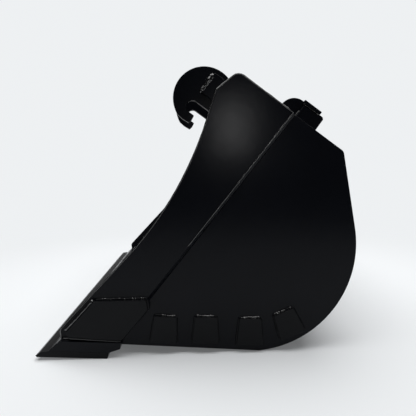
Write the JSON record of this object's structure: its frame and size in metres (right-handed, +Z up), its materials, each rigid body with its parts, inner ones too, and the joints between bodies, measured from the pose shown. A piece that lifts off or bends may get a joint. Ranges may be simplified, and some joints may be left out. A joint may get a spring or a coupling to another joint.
{
  "type": "excavator bucket",
  "caption": "Wide excavator grading bucket with two-plate sides, bolt-on cutting edge, heel pads, front hooks and rear lock bores.",
  "frame": {"origin": "middle of the axis of the two front hook pockets", "axes": "+Z up with the bucket standing on its cutting edge and its heel, +Y along the hook axis, -X towards the cutting edge and +X towards the back"},
  "size_m": [0.9935, 1.5, 0.9579],
  "materials": {
    "body_paint": "gloss black enamel over welded plate",
    "wear_paint": "gloss black enamel over wear steel",
    "zinc_steel": "zinc-plated, satin",
    "bush_steel": "machined and oiled"
  },
  "bodies": {
    "root": {"wrapper": "body_paint", "top_plate": "body_paint", "mouth_beam": "body_paint", "lip_plate": "body_paint", "cutting_edge": "wear_paint", "edge_bolts": "zinc_steel", "edge_washers": "zinc_steel", "edge_nuts": "zinc_steel", "front_side_plate_left": "body_paint", "front_side_plate_right": "body_paint", "rear_side_plate_left": "body_paint", "rear_side_plate_right": "body_paint", "side_wear_plate_left": "wear_paint", "side_wear_plate_right": "wear_paint", "heel_pad_left_1": "wear_paint", "heel_pad_left_2": "wear_paint", "heel_pad_left_3": "wear_paint", "heel_pad_left_4": "wear_paint", "heel_pad_right_1": "wear_paint", "heel_pad_right_2": "wear_paint", "heel_pad_right_3": "wear_paint", "heel_pad_right_4": "wear_paint", "base_plate": "body_paint", "hinge_plate_left": "body_paint", "hinge_plate_right": "body_paint", "hook_doubler_left": "body_paint", "hook_doubler_right": "body_paint", "lock_bush_left": "bush_steel", "lock_bush_right": "bush_steel", "rear_block_left": "body_paint", "rear_block_right": "body_paint", "block_cap_left": "body_paint", "block_cap_right": "body_paint", "hinge_gussets_left": "body_paint", "hinge_gussets_right": "body_paint", "rear_stop": "body_paint"}
  },
  "joints": []
}
